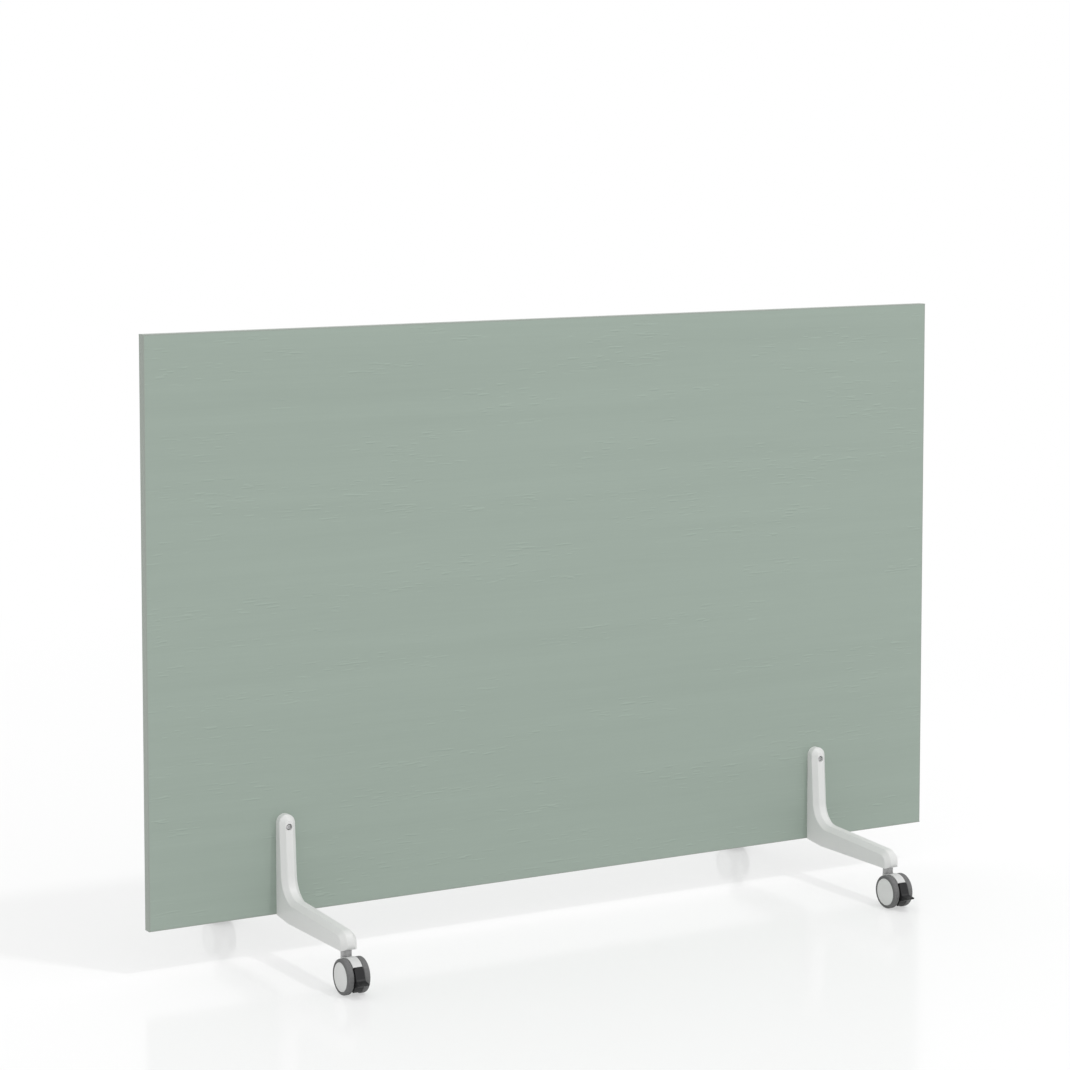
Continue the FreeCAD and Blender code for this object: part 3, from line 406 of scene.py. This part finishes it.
def zinc_steel(settings):
    """Plated steel of stems, axles, pins and hidden fixings."""
    finish = new_finish("zinc_steel")
    point = finish.point()
    spangle = finish.node("TexVoronoi", {"feature": "SMOOTH_F1"}, {"Vector": point, "Scale": ZINC_SPANGLES})
    cloud = finish.noise(point, ZINC_CLOUDS, detail=3)
    return finish.surface(
        Base_Color=finish.mix(cloud, tinted(settings.zinc, 0.85), tinted(settings.zinc, 1.08)),
        Metallic=1.0,
        Roughness=0.5 + (cloud - MEAN) * 0.16 + spangle * 0.06,
        Normal=finish.bump(cloud, ZINC_DEPTH),
    )


def moulded_plastic(name, colour, grain, roughness, depth, gloss=0.5):
    """Injection-moulded plastic with a fine eroded grain."""
    finish = new_finish(name)
    point = finish.point()
    grains = finish.noise(point, 1 / grain, detail=2, roughness=0.6)
    flow = finish.noise(point, PLASTIC_FLOWS, detail=2)
    return finish.surface(
        Base_Color=finish.mix(flow, tinted(colour, 0.96), tinted(colour, 1.04)),
        Roughness=roughness + (grains - MEAN) * 0.14,
        Specular_IOR_Level=gloss,
        Normal=finish.bump(grains, depth),
    )


def tyre_rubber(settings):
    """Soft grey tyre: fine rings on its sides, and a paler tread that has rolled on floors."""
    finish = new_finish("grey_tyre")
    point = finish.point()
    _, y, z = finish.axes(point)
    wheel = middle("front_left_outer_tyre")
    radius = ((abs(y) - abs(wheel.y)) ** 2 + (z - wheel.z) ** 2) ** 0.5
    outer = span("front_left_outer_tyre").z / 2
    tread = finish.rise(radius, outer - TREAD_INSIDE, outer - TREAD_OUTSIDE)
    scuff = finish.rise(finish.noise(point, TYRE_SCUFFS, detail=4, roughness=0.65), *SCUFF_EDGE)
    rings = finish.node("Math", {"operation": "SINE"}, {0: radius * (TURN / TYRE_RING)})
    fine = finish.noise(point, TYRE_GRAINS, detail=2)
    return finish.surface(
        Base_Color=finish.mix(tread * scuff, settings.tyre, settings.tread),
        Roughness=0.6 + (fine - MEAN) * 0.2 + tread * 0.08,
        Normal=finish.bump(fine * 0.6 + rings * (1 - tread) * 0.3, TYRE_DEPTH),
    )


class DIVIDER_OT_board(bpy.types.Operator):
    """Finish the board: two laminated faces, four edge bands and the core"""

    bl_idname = "divider.board"
    bl_label = "Board"

    def execute(self, context):
        settings = context.scene.divider_board
        give(laminate(settings), *FACE_SHEETS)
        give(edge_band(settings), *EDGE_BANDS)
        give(chipboard(settings), "panel_core")
        return {"FINISHED"}


class DIVIDER_OT_arms(bpy.types.Operator):
    """Powder coat the four cast arms"""

    bl_idname = "divider.arms"
    bl_label = "Arms"

    def execute(self, context):
        give(powder_coat(context.scene.divider_arms), *("arm_" + foot for foot in FEET))
        return {"FINISHED"}


class DIVIDER_OT_fixings(bpy.types.Operator):
    """Finish the bolts, nuts, washers, stems, axles and pins"""

    bl_idname = "divider.fixings"
    bl_label = "Fixings"

    def execute(self, context):
        settings = context.scene.divider_arms
        give(bolt_steel(settings), "upper_bolts", "upper_sleeve_nuts")
        turning = [foot + piece for foot in FEET for piece in ("_axle", "_pedal_pin")]
        give(zinc_steel(settings), *PLATED, *turning)
        return {"FINISHED"}


class DIVIDER_OT_wheels(bpy.types.Operator):
    """Finish the tyres, rims and caps of the eight wheels, and the hoods between them"""

    bl_idname = "divider.wheels"
    bl_label = "Wheels"

    def execute(self, context):
        settings = context.scene.divider_casters
        wheels = [f"{foot}_{wheel}" for foot in FEET for wheel in WHEELS]
        plastic = moulded_plastic("light_grey_plastic", settings.hood, settings.grain, 0.4, MOULD_DEPTH)
        give(tyre_rubber(settings), *(wheel + "_tyre" for wheel in wheels))
        give(plastic, *(wheel + "_rim" for wheel in wheels), *(foot + "_hood" for foot in FEET))
        caps = moulded_plastic("pale_grey_plastic", settings.cap, settings.grain, 0.42, MOULD_DEPTH)
        give(caps, *(wheel + "_cap" for wheel in wheels))
        return {"FINISHED"}


class DIVIDER_OT_pedals(bpy.types.Operator):
    """Finish the brake pedals"""

    bl_idname = "divider.pedals"
    bl_label = "Brake pedals"

    def execute(self, context):
        settings = context.scene.divider_casters
        plastic = moulded_plastic("black_plastic", settings.pedal, settings.grain, 0.5, PEDAL_DEPTH,
                                  gloss=0.38)
        give(plastic, *(foot + "_brake_pedal" for foot in FEET))
        return {"FINISHED"}


def floor_finish(settings):
    """Pale polished floor that fades into the white background away from the object."""
    finish = new_finish("studio_floor")
    x, y, _ = finish.axes(finish.point())
    away = finish.rise((x ** 2 + y ** 2) ** 0.5, *FLOOR_FADE) * (1 - settings.veil) + settings.veil
    ray = finish.node("LightPath")
    seen = ray + ray.output("Is Glossy Ray") + ray.output("Is Transmission Ray")
    lit = finish.node("BsdfPrincipled", inputs={
        "Base Color": (*settings.floor, 1), "Roughness": 0.13, "Specular IOR Level": 0.25})
    white = finish.node("Emission", inputs={"Strength": 1})
    mixed = finish.node("MixShader", inputs={0: away * seen, 1: lit, 2: white})
    finish.node("OutputMaterial", inputs={"Surface": mixed})
    return finish.owner


def build_floor(settings):
    """Flat floor under the object."""
    mesh = bpy.data.meshes.new("floor")
    bm = bmesh.new()
    bmesh.ops.create_grid(bm, x_segments=FLOOR_SQUARES, y_segments=FLOOR_SQUARES, size=FLOOR_REACH)
    bm.to_mesh(mesh)
    bm.free()
    floor = bpy.data.objects.new("floor", mesh)
    bpy.context.scene.collection.objects.link(floor)
    mesh.materials.append(floor_finish(settings))


def build_sky(settings):
    """Even light from all round, seen as white."""
    world = bpy.data.worlds.new("studio")
    bpy.context.scene.world = world
    finish = Finish(world)
    ray = finish.node("LightPath")
    seen = ray + ray.output("Is Glossy Ray") + ray.output("Is Transmission Ray")
    light = finish.node("Background", inputs={"Color": (1, 1, 1, 1), "Strength": settings.sky})
    white = finish.node("Background", inputs={"Color": (1, 1, 1, 1), "Strength": 1})
    mixed = finish.node("MixShader", inputs={0: seen, 1: light, 2: white})
    finish.node("OutputWorld", inputs={"Surface": mixed})


def build_lamp(settings):
    """Soft lamp high up in front, to the right of the object."""
    lamp = bpy.data.lights.new("key", "AREA")
    lamp.energy = settings.key
    lamp.size = settings.key_size
    holder = bpy.data.objects.new("key", lamp)
    holder.location = settings.key_place
    target = (CAD_BOX[0] + CAD_BOX[1]) / 2
    holder.rotation_euler = (target - holder.location).to_track_quat("-Z", "Y").to_euler()
    bpy.context.scene.collection.objects.link(holder)


def build_camera(settings):
    """Camera in front, to the left of the object."""
    camera = bpy.data.cameras.new("camera")
    camera.lens = settings.lens
    camera.shift_y = settings.shift
    holder = bpy.data.objects.new("camera", camera)
    holder.location = settings.eye
    holder.rotation_euler = (math.pi / 2 - settings.pitch, 0, -settings.yaw)
    bpy.context.scene.collection.objects.link(holder)
    bpy.context.scene.camera = holder


class DIVIDER_OT_stage(bpy.types.Operator):
    """Set up the floor, the light and the camera"""

    bl_idname = "divider.stage"
    bl_label = "Stage"

    def execute(self, context):
        settings = context.scene.divider_studio
        context.scene.view_settings.view_transform = "Standard"
        build_floor(settings)
        build_sky(settings)
        build_lamp(settings)
        build_camera(settings)
        return {"FINISHED"}


OPERATORS = (DIVIDER_OT_board, DIVIDER_OT_arms, DIVIDER_OT_fixings, DIVIDER_OT_wheels, DIVIDER_OT_pedals,
             DIVIDER_OT_stage)
GROUPS = {"divider_board": BoardFinish, "divider_arms": ArmFinish, "divider_casters": CasterFinish,
          "divider_studio": Studio}


class DIVIDER_PT_panel(bpy.types.Panel):
    """Finishes and stage of the room divider"""

    bl_idname = "DIVIDER_PT_panel"
    bl_label = "Room divider"
    bl_space_type = "VIEW_3D"
    bl_region_type = "UI"
    bl_category = "Divider"

    def draw(self, context):
        for key, group in GROUPS.items():
            box = self.layout.box()
            box.label(text=group.__doc__)
            for name in group.__annotations__:
                box.prop(getattr(context.scene, key), name)
        for operator in OPERATORS:
            self.layout.operator(operator.bl_idname)


def register():
    for group in GROUPS.values():
        bpy.utils.register_class(group)
    for operator in OPERATORS:
        bpy.utils.register_class(operator)
    bpy.utils.register_class(DIVIDER_PT_panel)
    for key, group in GROUPS.items():
        setattr(bpy.types.Scene, key, PointerProperty(type=group))


def unregister():
    for key in GROUPS:
        delattr(bpy.types.Scene, key)
    bpy.utils.unregister_class(DIVIDER_PT_panel)
    for operator in reversed(OPERATORS):
        bpy.utils.unregister_class(operator)
    for group in reversed(GROUPS.values()):
        bpy.utils.unregister_class(group)


def main():
    register()
    bpy.ops.divider.stage()
    bpy.ops.divider.board()
    bpy.ops.divider.arms()
    bpy.ops.divider.fixings()
    bpy.ops.divider.wheels()
    bpy.ops.divider.pedals()


if __name__ == "__main__":
    main()
